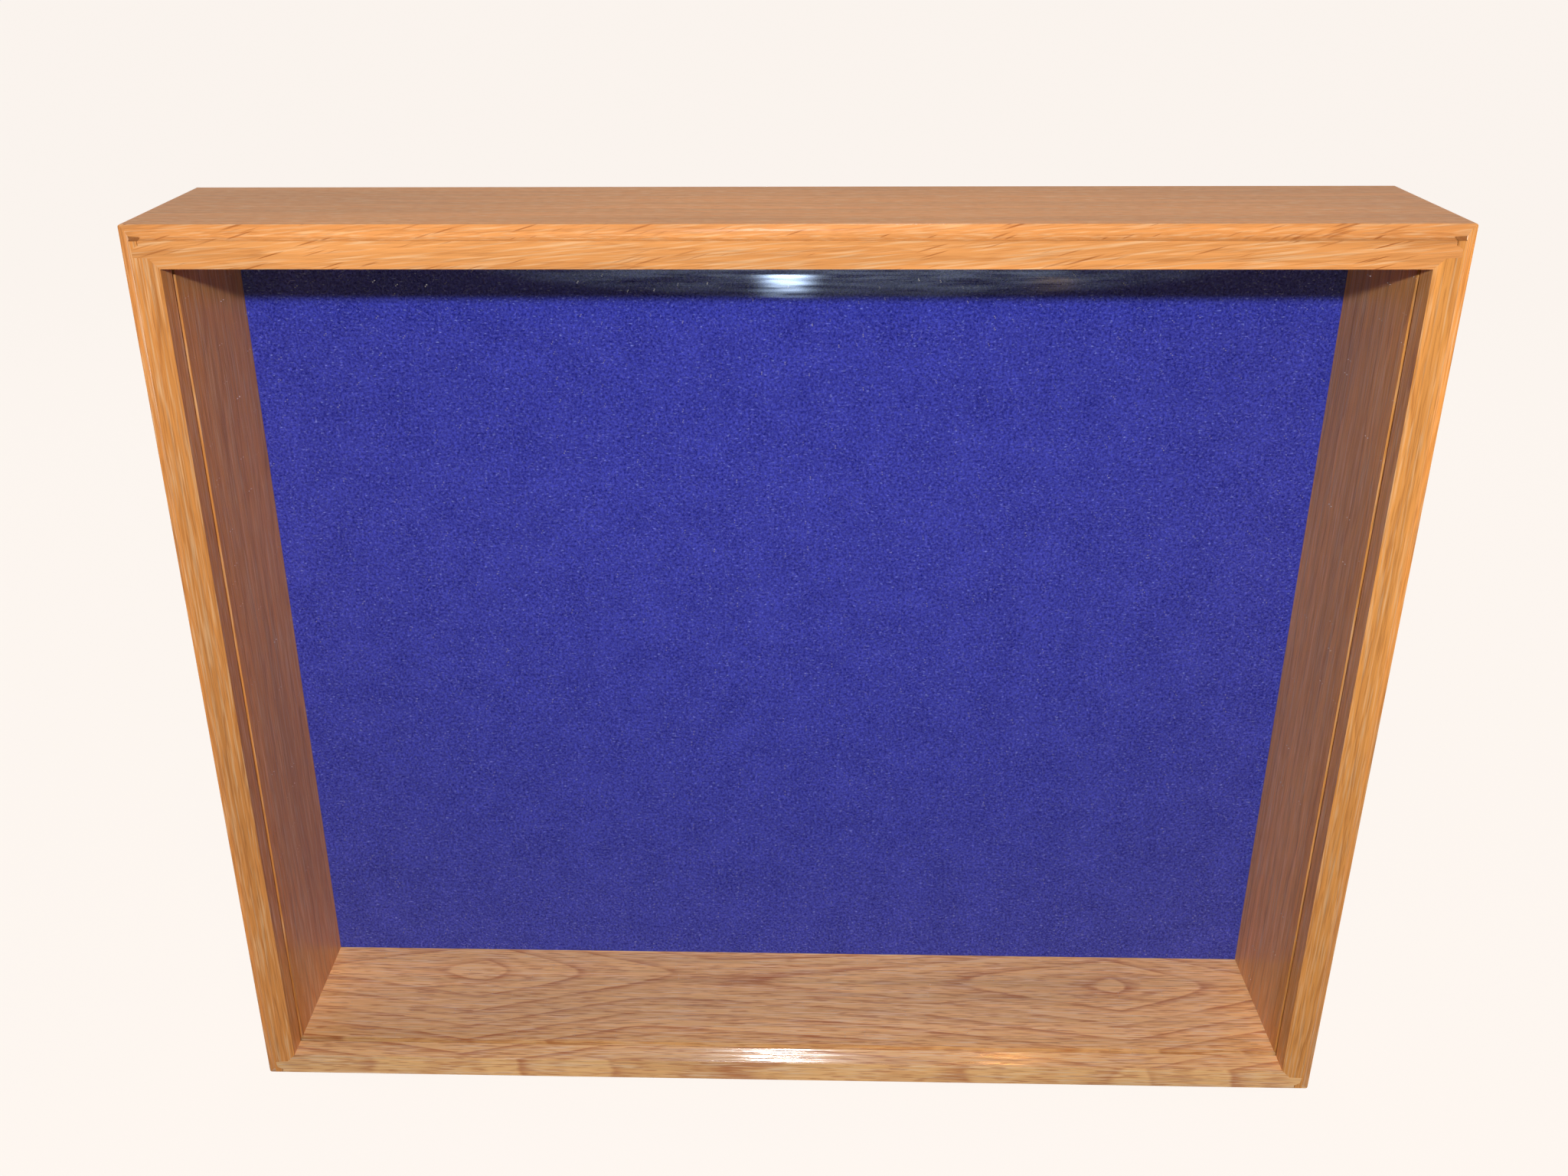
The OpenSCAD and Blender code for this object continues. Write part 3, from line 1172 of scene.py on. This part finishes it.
@dataclass
class WoodFrame:
    """Four moulded oak boards, locked at the corners, with the grain running round the case."""

    arris: float = 0.35 * MM

    TOP = Oak(
        "oak_top",
        Grain.ALONG_X,
        cores_mm=((40.0, 160.0, 640.0),),
        ring_mm=5.5,
        slope=math.radians(6),
        ray_slope=math.radians(16),
        wood="#e8a664",
        line_share=0.25,
        pore_share=0.2,
        ray_share=0.95,
        varnish=0.15,
        varnish_roughness=0.2,
    )
    BOTTOM = Oak(
        "oak_bottom",
        Grain.ALONG_X,
        cores_mm=((204.0, 19.0, 9.0), (-188.0, 24.0, 11.0)),
        closing=(0.165, 0.27),
        closed_mm=200.0,
        ring_mm=12.0,
        wander_mm=2.2,
        wobble_mm=0.6,
        pore_mm=(13.0, 0.75, 0.75),
        # Lighter than the other boards' wood: partly the board's own tone, partly painted light making up for the
        # dimmer light on the bottom board.
        wood="#fccd8c",
        line="#b9652f",
        pale="#ffe8c8",
        pore="#b4622c",
        line_share=0.65,
        pore_share=0.55,
        painted_glint_share=0.6,
        ray_share=0.1,
        varnish=0.6,
        varnish_roughness=0.13,
        bead=1.07,
    )
    LEFT = Oak(
        "oak_left",
        Grain.ALONG_Z,
        cores_mm=((200.0, 160.0, 60.0),),
        ring_mm=7.0,
        wood="#e59f57",
        ray_share=0.2,
    )
    RIGHT = Oak(
        "oak_right",
        Grain.ALONG_Z,
        cores_mm=((120.0, -190.0, -60.0),),
        ring_mm=8.0,
        wood="#f2ad5e",
        ray_share=0.2,
    )

    def build(self) -> list[bpy.types.Object]:
        """Build and dress the boards.

        Returns:
            The four boards.
        """
        cuts = {
            "top_board": self.TOP,
            "bottom_board": self.BOTTOM,
            "left_board": self.LEFT,
            "right_board": self.RIGHT,
        }
        return [
            softened_copy(node, "oak_" + node, self.arris, oak.material())
            for node, oak in cuts.items()
        ]


@dataclass
class FrontSheet:
    """The clear sheet that sits in the groove of the four boards."""

    def build(self) -> list[bpy.types.Object]:
        """Dress the sheet.

        Returns:
            The sheet.
        """
        sheet = frame["nodes"]["front_panel"]
        dress(sheet, ClearAcrylic().material())
        return [sheet]


@dataclass
class FeltBack:
    """The hardboard back with the felt glued to its front, and loose wool on the felt.

    Attributes:
        cells: Number of cells along each side of the felt.
        swell: Half of the height of the felt's soft waves.
        fibres_per_m2: Number of loose fibres on each square metre.
        fibre_length: Length of a loose fibre.
        fibre_radius: Half of its thickness. Real wool is 0.03 mm thick, too fine to show.
        fibre_rise: Height of the fibre's bow above the felt.
        arris: Rounding of the hardboard's edges.
    """

    cells: int = 60
    swell: float = 0.05 * MM
    fibres_per_m2: float = 26000.0
    fibre_length: float = 4.5 * MM
    fibre_radius: float = 0.07 * MM
    fibre_rise: float = 0.3 * MM
    arris: float = 0.4 * MM

    SEED = 7

    def _face(self) -> bmesh.types.BMesh:
        """Lay a grid over the felt's front, with soft waves.

        Returns:
            The grid, facing the front.
        """
        low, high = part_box("felt_lining")
        size = high - low
        shape = bmesh.new()
        bmesh.ops.create_grid(shape, x_segments=self.cells, y_segments=self.cells, size=0.5)
        for corner in shape.verts:
            x, z = corner.co.x, corner.co.y
            wave = math.sin(37 * x + 11 * z) * math.sin(29 * z - 17 * x)
            corner.co = Vector(
                (
                    low.x + (x + 0.5) * size.x,
                    low.y + self.swell * (1 + wave),
                    low.z + (z + 0.5) * size.z,
                )
            )
        return shape

    def _felt(self) -> bpy.types.Object:
        """Build the felt as one thin sheet that fills the space of its solid.

        Returns:
            The felt.
        """
        low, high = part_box("felt_lining")
        shape = self._face()
        rim = [edge for edge in shape.edges if edge.is_boundary]
        wall = bmesh.ops.extrude_edge_only(shape, edges=rim)["geom"]
        ends = [part for part in wall if isinstance(part, bmesh.types.BMVert)]
        for corner in ends:
            corner.co.y = high.y
        back = [part for part in wall if isinstance(part, bmesh.types.BMEdge)]
        bmesh.ops.contextual_create(shape, geom=[e for e in back if e.is_boundary])
        bmesh.ops.recalc_face_normals(shape, faces=shape.faces)
        mesh = bpy.data.meshes.new("felt")
        shape.to_mesh(mesh)
        shape.free()
        felt = new_piece("felt", mesh)
        dress(felt, WoolFelt().material())
        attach(felt, "back")
        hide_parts("felt_lining")
        return felt

    def _loose_fibres(self) -> bpy.types.Object:
        """Scatter bowed fibres over the felt's front.

        Returns:
            The fibres, as one piece.
        """
        shape = NodeShape(
            "loose_fibres",
            {
                "Fibres per square metre": self.fibres_per_m2,
                "Length": self.fibre_length,
                "Radius": self.fibre_radius,
                "Rise": self.fibre_rise,
                "Seed": self.SEED,
            },
        )
        tree = shape.tree
        points = add_node(
            tree,
            "GeometryNodeDistributePointsOnFaces",
            {
                "Mesh": shape.size("Geometry"),
                "Density": shape.size("Fibres per square metre"),
                "Seed": shape.size("Seed"),
            },
        )
        half = add_node(tree, MATH, {0: shape.size("Length"), 1: 0.5}, operation="MULTIPLY")
        other = add_node(tree, MATH, {0: half.outputs[0], 1: -1.0}, operation="MULTIPLY")
        outwards = add_node(tree, MATH, {0: shape.size("Rise"), 1: -2.0}, operation="MULTIPLY")
        start = add_node(tree, COMBINE, {0: other.outputs[0]})
        end = add_node(tree, COMBINE, {0: half.outputs[0]})
        bow = add_node(
            tree, COMBINE, {0: 0.0, 1: outwards.outputs[0], 2: half.outputs[0]}
        )
        line = add_node(
            tree,
            "GeometryNodeCurveQuadraticBezier",
            {"Resolution": 4, "Start": start.outputs[0], "Middle": bow.outputs[0], "End": end.outputs[0]},
        )
        ring = add_node(
            tree, "GeometryNodeCurvePrimitiveCircle", {"Resolution": 3, "Radius": shape.size("Radius")}
        )
        fibre = add_node(
            tree,
            "GeometryNodeCurveToMesh",
            {"Curve": line.outputs[0], "Profile Curve": ring.outputs[0], "Fill Caps": True},
        )
        turn = add_node(
            tree,
            "FunctionNodeRandomValue",
            {0: (0.0, -math.pi, 0.0), 1: (0.0, math.pi, 0.0), "Seed": shape.size("Seed")},
            data_type="FLOAT_VECTOR",
        )
        stretch = add_node(
            tree,
            "FunctionNodeRandomValue",
            {0: (0.4, 0.6, 0.3), 1: (1.3, 1.2, 1.0), "Seed": shape.size("Seed")},
            data_type="FLOAT_VECTOR",
        )
        placed = add_node(
            tree,
            "GeometryNodeInstanceOnPoints",
            {
                "Points": points.outputs[0],
                "Instance": fibre.outputs[0],
                "Rotation": turn.outputs[0],
                "Scale": stretch.outputs[0],
            },
        )
        shape.finish(placed.outputs[0], LooseWool().material())
        grid = self._face()
        for face in grid.faces:
            if face.normal.y > 0:
                face.normal_flip()
        mesh = bpy.data.meshes.new("loose_wool")
        grid.to_mesh(mesh)
        grid.free()
        fibres = shape.grow("loose_wool", mesh)
        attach(fibres, "back")
        return fibres

    def build(self) -> list[bpy.types.Object]:
        """Build the felt, its loose fibres and the hardboard.

        Returns:
            The three pieces.
        """
        board = softened_copy(
            "back_board", "hardboard_back", self.arris, Hardboard().material()
        )
        return [self._felt(), self._loose_fibres(), board]


@dataclass(frozen=True)
class Fastener:
    """Sizes of one kind of screw or nail, measured from the seat of its head.

    Attributes:
        head_radius: Radius of the head.
        head_height: Height of the head.
        crown: Height of the domed part of the head.
        shank_radius: Radius of the shank, without its thread.
        length: Length below the head.
        slot_length: Length of the slots of a cross recess, or 0 for a plain head.
        slot_width: Width of those slots.
        slot_depth: Depth of those slots.
        pitch: Pitch of the thread, or 0 for a plain shank.
        thread: Height of the thread.
    """

    head_radius: float
    head_height: float
    crown: float
    shank_radius: float
    length: float
    slot_length: float = 0.0
    slot_width: float = 0.0
    slot_depth: float = 0.0
    pitch: float = 0.0
    thread: float = 0.0

    SIDES = 40
    TURN = math.pi / 4

    def _head(self, shape: NodeShape) -> Socket:
        """Cut a head with a domed top out of a ball and a cylinder.

        Args:
            shape: The tree that gets the nodes.

        Returns:
            The head, seated at the origin and rising along +Z.
        """
        tree = shape.tree
        blank = add_node(
            tree,
            "GeometryNodeMeshCylinder",
            {
                "Vertices": self.SIDES,
                "Radius": shape.size("Head radius"),
                "Depth": shape.size("Head height"),
            },
        )
        middle = add_node(
            tree, MATH, {0: shape.size("Head height"), 1: 0.5}, operation="MULTIPLY"
        )
        up = add_node(tree, COMBINE, {2: middle.outputs[0]})
        raised = add_node(
            tree,
            "GeometryNodeTransform",
            {"Geometry": blank.outputs[0], "Translation": up.outputs[0]},
        )
        ball_radius = (self.head_radius**2 + self.crown**2) / (2 * self.crown)
        ball = add_node(
            tree,
            "GeometryNodeMeshUVSphere",
            {"Segments": 64, "Rings": 96, "Radius": ball_radius},
        )
        lowered = add_node(
            tree,
            "GeometryNodeTransform",
            {
                "Geometry": ball.outputs[0],
                "Translation": (0.0, 0.0, self.head_height - ball_radius),
            },
        )
        return add_node(
            tree,
            "GeometryNodeMeshBoolean",
            {"Mesh 2": [raised.outputs[0], lowered.outputs[0]]},
            operation="INTERSECT",
        ).outputs[0]

    def _recessed(self, shape: NodeShape, head: Socket) -> Socket:
        """Cut a cross recess into a head.

        Args:
            shape: The tree that gets the nodes.
            head: The plain head.

        Returns:
            The head with its recess.
        """
        tree = shape.tree
        size = add_node(
            tree,
            COMBINE,
            {
                0: shape.size("Slot length"),
                1: shape.size("Slot width"),
                2: shape.size("Slot depth"),
            },
        )
        bar = add_node(tree, "GeometryNodeMeshCube", {"Size": size.outputs[0]})
        middle = self.head_height - self.slot_depth / 2 + 0.02 * MM
        bars = [
            add_node(
                tree,
                "GeometryNodeTransform",
                {
                    "Geometry": bar.outputs[0],
                    "Translation": (0.0, 0.0, middle),
                    "Rotation": (0.0, 0.0, turn),
                },
            ).outputs[0]
            for turn in (self.TURN, -self.TURN)
        ]
        return add_node(
            tree,
            "GeometryNodeMeshBoolean",
            {"Mesh 1": head, "Mesh 2": bars},
            operation="DIFFERENCE",
        ).outputs[0]

    def _shank(self, shape: NodeShape) -> list[Socket]:
        """Make the shank and its point, and the thread where it has one.

        Args:
            shape: The tree that gets the nodes.

        Returns:
            The parts of the shank, below the origin.
        """
        tree = shape.tree
        point = 2 * self.shank_radius
        straight = self.length - point
        parts = []
        for top, bottom, start, end in (
            (self.shank_radius, self.shank_radius, 0.0, straight),
            (self.shank_radius, self.shank_radius / 5, straight, self.length),
        ):
            rod = add_node(
                tree,
                "GeometryNodeMeshCone",
                {"Vertices": 20, "Radius Top": top, "Radius Bottom": bottom, "Depth": end - start},
            )
            low = add_node(
                tree,
                "GeometryNodeTransform",
                {"Geometry": rod.outputs[0], "Translation": (0.0, 0.0, -end)},
            )
            parts.append(low.outputs[0])
        if self.pitch:
            helix = add_node(
                tree,
                "GeometryNodeCurveSpiral",
                {
                    "Resolution": 14,
                    "Rotations": straight / self.pitch,
                    "Start Radius": shape.size("Shank radius"),
                    "End Radius": shape.size("Shank radius"),
                    "Height": straight - self.pitch,
                },
            )
            ridge = add_node(
                tree,
                "GeometryNodeCurvePrimitiveCircle",
                {"Resolution": 3, "Radius": shape.size("Thread height")},
            )
            wound = add_node(
                tree,
                "GeometryNodeCurveToMesh",
                {"Curve": helix.outputs[0], "Profile Curve": ridge.outputs[0], "Fill Caps": True},
            )
            down = add_node(
                tree,
                "GeometryNodeTransform",
                {"Geometry": wound.outputs[0], "Translation": (0.0, 0.0, -straight)},
            )
            parts.append(down.outputs[0])
        return parts

    def build(
        self, name: str, seats: list[Vector], material: bpy.types.Material
    ) -> bpy.types.Object:
        """Make one such fastener on every seat, pointing into the rear of the case.

        Args:
            name: Name of the piece.
            seats: Where the underside of each head sits.
            material: The metal.

        Returns:
            All the fasteners as one piece.
        """
        shape = NodeShape(
            name + "_shape",
            {
                "Head radius": self.head_radius,
                "Head height": self.head_height,
                "Slot length": self.slot_length,
                "Slot width": self.slot_width,
                "Slot depth": self.slot_depth,
                "Shank radius": self.shank_radius,
                "Thread height": self.thread,
            },
        )
        head = self._head(shape)
        if self.slot_length:
            head = self._recessed(shape, head)
        whole = add_node(
            shape.tree,
            "GeometryNodeJoinGeometry",
            {"Geometry": [head, *self._shank(shape)]},
        )
        placed = add_node(
            shape.tree,
            "GeometryNodeInstanceOnPoints",
            {
                "Points": shape.size("Geometry"),
                "Instance": whole.outputs[0],
                "Rotation": (-math.pi / 2, 0.0, 0.0),
            },
        )
        shape.finish(placed.outputs[0], material)
        mesh = bpy.data.meshes.new(name)
        mesh.from_pydata([tuple(seat) for seat in seats], [], [])
        return shape.grow(name, mesh)


@dataclass
class Hardware:
    """Turn buttons, their screws, and the two sawtooth hangers with their nails.

    Attributes:
        arris: Rounding of the pressed steel's edges.
        nail_inset: From the end of a hanger to its nail.
    """

    arris: float = 0.2 * MM
    nail_inset: float = 4.0 * MM

    ZINC = PlatedSteel("zinc_plate", "#b9bcc0", (0.28, 0.5))
    BRIGHT = PlatedSteel("bright_plate", "#cfd0d2", (0.2, 0.36))
    SCREW = Fastener(
        head_radius=3.45 * MM,
        head_height=2.0 * MM,
        crown=1.2 * MM,
        shank_radius=1.45 * MM,
        length=16.0 * MM,
        slot_length=3.6 * MM,
        slot_width=1.0 * MM,
        slot_depth=1.3 * MM,
        pitch=1.6 * MM,
        thread=0.3 * MM,
    )
    NAIL = Fastener(
        head_radius=1.7 * MM,
        head_height=0.7 * MM,
        crown=0.3 * MM,
        shank_radius=0.8 * MM,
        length=13.0 * MM,
    )

    def _screw_seats(self) -> list[Vector]:
        """Return the seats of the screws, one on the pivot of each turn button."""
        _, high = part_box("button_screws")
        seats = []
        for joint in frame["joints"]:
            if joint["type"] == "hinge":
                x, _, z = joint["pos_m"]
                seats.append(Vector((x, high.y - self.SCREW.head_height, z)))
        return seats

    def _nail_seats(self) -> list[Vector]:
        """Return the seats of the nails, near both ends of each hanger."""
        _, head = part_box("hanger_nails")
        seats = []
        for node in ("hanger_left", "hanger_right"):
            low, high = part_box(node)
            for x in (low.x + self.nail_inset, high.x - self.nail_inset):
                seats.append(
                    Vector((x, head.y - self.NAIL.head_height, (low.z + high.z) / 2))
                )
        return seats

    def build(self) -> list[bpy.types.Object]:
        """Build and dress the hardware.

        Returns:
            The dressed pieces.
        """
        zinc, bright = self.ZINC.material(), self.BRIGHT.material()
        made = [
            softened_copy(node, "zinc_" + node, self.arris, zinc)
            for node in frame["nodes"]
            if node.startswith(("button_", "hanger_")) and node not in ("button_screws", "hanger_nails")
        ]
        kinds = (
            ("button_screws", "pan_screws", self.SCREW, self._screw_seats()),
            ("hanger_nails", "flat_nails", self.NAIL, self._nail_seats()),
        )
        for node, name, fastener, seats in kinds:
            piece = fastener.build(name, seats, bright)
            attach(piece, "case")
            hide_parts(node)
            made.append(piece)
        return made


@dataclass(frozen=True)
class PhotoCamera:
    """The camera in the place from which the photograph was taken."""

    place: tuple[float, float, float] = (-0.0013, -0.6907, 0.6314)
    turn_deg: tuple[float, float, float] = (66.279, 0.368, 1.622)
    lens_mm: float = 32.99
    shift: tuple[float, float] = (0.026, -0.0311)

    def build(self) -> None:
        """Make the camera and set it as the scene's camera."""
        data = bpy.data.cameras.new("photo_camera")
        data.lens = self.lens_mm
        data.shift_x, data.shift_y = self.shift
        camera = bpy.data.objects.new("photo_camera", data)
        camera.location = self.place
        camera.rotation_euler = Euler([math.radians(a) for a in self.turn_deg])
        bpy.context.scene.collection.objects.link(camera)
        bpy.context.scene.camera = camera


@dataclass(frozen=True)
class Lamp:
    """A round lamp that points at the middle of the case."""

    name: str
    place: tuple[float, float, float]
    size: float
    watts: float
    colour: str = "#ffffff"

    AIM = (0.0, 0.0, 0.25)

    def build(self) -> None:
        """Hang the lamp. The camera doesn't see the lamp itself."""
        data = bpy.data.lights.new(self.name, "AREA")
        data.shape = "DISK"
        data.size = self.size
        data.energy = self.watts
        data.color = linear(self.colour)[:3]
        lamp = bpy.data.objects.new(self.name, data)
        lamp.location = self.place
        aim = Vector(self.AIM) - Vector(self.place)
        lamp.rotation_euler = aim.to_track_quat("-Z", "Y").to_euler()
        lamp.visible_camera = False
        bpy.context.scene.collection.objects.link(lamp)


@dataclass
class Studio:
    """A wide pale floor, a key lamp in front, soft light from above and fill round the case."""

    pale: str = "#fff8f2"
    matt: str = "#8a8580"
    floor_half: float = 60.0
    glow_share: float = 0.8
    glow_level: float = 1.2
    world_level: float = 0.03

    LAMPS = (
        Lamp("key", (0.0, -0.94, 0.837), 0.05, 7.6),
        Lamp("room", (0.345, -1.12, 1.036), 0.05, 2.0, "#ffb257"),
        Lamp("overhead", (0.0, -0.85, 1.5), 0.6, 4.5, "#ffd9ae"),
        Lamp("low_rear", (0.0, 1.9, 0.28), 0.3, 16.0),
        Lamp("low_left", (-2.2, 0.2, 0.28), 0.3, 16.0),
        Lamp("low_right", (2.2, 0.2, 0.28), 0.3, 16.0),
    )

    def _seen(self, tree: bpy.types.NodeTree) -> Socket:
        """Return 1 for what the camera sees, straight, mirrored or through the sheet.

        Args:
            tree: The material's node tree.

        Returns:
            The strength of the background.
        """
        path = add_node(tree, "ShaderNodeLightPath")
        mirrored = add_node(
            tree,
            MATH,
            {0: path.outputs["Is Camera Ray"], 1: path.outputs["Is Glossy Ray"]},
            operation="MAXIMUM",
        )
        return add_node(
            tree,
            MATH,
            {0: mirrored.outputs[0], 1: path.outputs["Is Transmission Ray"]},
            operation="MAXIMUM",
        ).outputs[0]

    def _floor(self) -> None:
        """Lay the floor under the case. It looks pale and even but keeps the shadow."""
        material, tree = new_material("pale_floor")
        matt = add_node(tree, "ShaderNodeBsdfDiffuse", {"Color": linear(self.matt)})
        glow = add_node(
            tree, "ShaderNodeEmission", {"Color": linear(self.pale), "Strength": self.glow_level}
        )
        share = add_node(
            tree, MATH, {0: self._seen(tree), 1: self.glow_share}, operation="MULTIPLY"
        )
        mixed = add_node(
            tree,
            "ShaderNodeMixShader",
            {0: share.outputs[0], 1: matt.outputs[0], 2: glow.outputs[0]},
        )
        finish_surface(tree, mixed.outputs[0])
        half, height = self.floor_half, CAD_BOX[0][2]
        corners = [(-half, -half), (half, -half), (half, half), (-half, half)]
        mesh = bpy.data.meshes.new("floor")
        mesh.from_pydata([(x, y, height) for x, y in corners], [], [(0, 1, 2, 3)])
        floor = new_piece("floor", mesh)
        dress(floor, material)

    def _world(self) -> None:
        """Light the case softly from all sides, with a pale background for the camera."""
        world = bpy.data.worlds.new("studio")
        bpy.context.scene.world = world
        world.use_nodes = True
        tree = world.node_tree
        tree.nodes.clear()
        level = add_node(
            tree, MAP_RANGE, {"Value": self._seen(tree), "To Min": self.world_level}
        )
        back = add_node(
            tree,
            "ShaderNodeBackground",
            {"Color": linear(self.pale), "Strength": level.outputs[0]},
        )
        add_node(tree, "ShaderNodeOutputWorld", {"Surface": back.outputs[0]})

    def build(self) -> None:
        """Set up floor, world and lamps."""
        self._floor()
        self._world()
        for lamp in self.LAMPS:
            lamp.build()
        bpy.context.scene.view_settings.view_transform = "Standard"


def main() -> None:
    """Build the pieces in order, light them and log each piece's face count."""
    logging.basicConfig(level=logging.INFO, format="%(name)s: %(message)s")
    PhotoCamera().build()
    for assembly in (WoodFrame(), FrontSheet(), FeltBack(), Hardware()):
        for piece in assembly.build():
            LOG.info("%s: %s, %d faces", type(assembly).__name__, piece.name, len(piece.data.polygons))
    Studio().build()


if __name__ == "__main__":
    main()
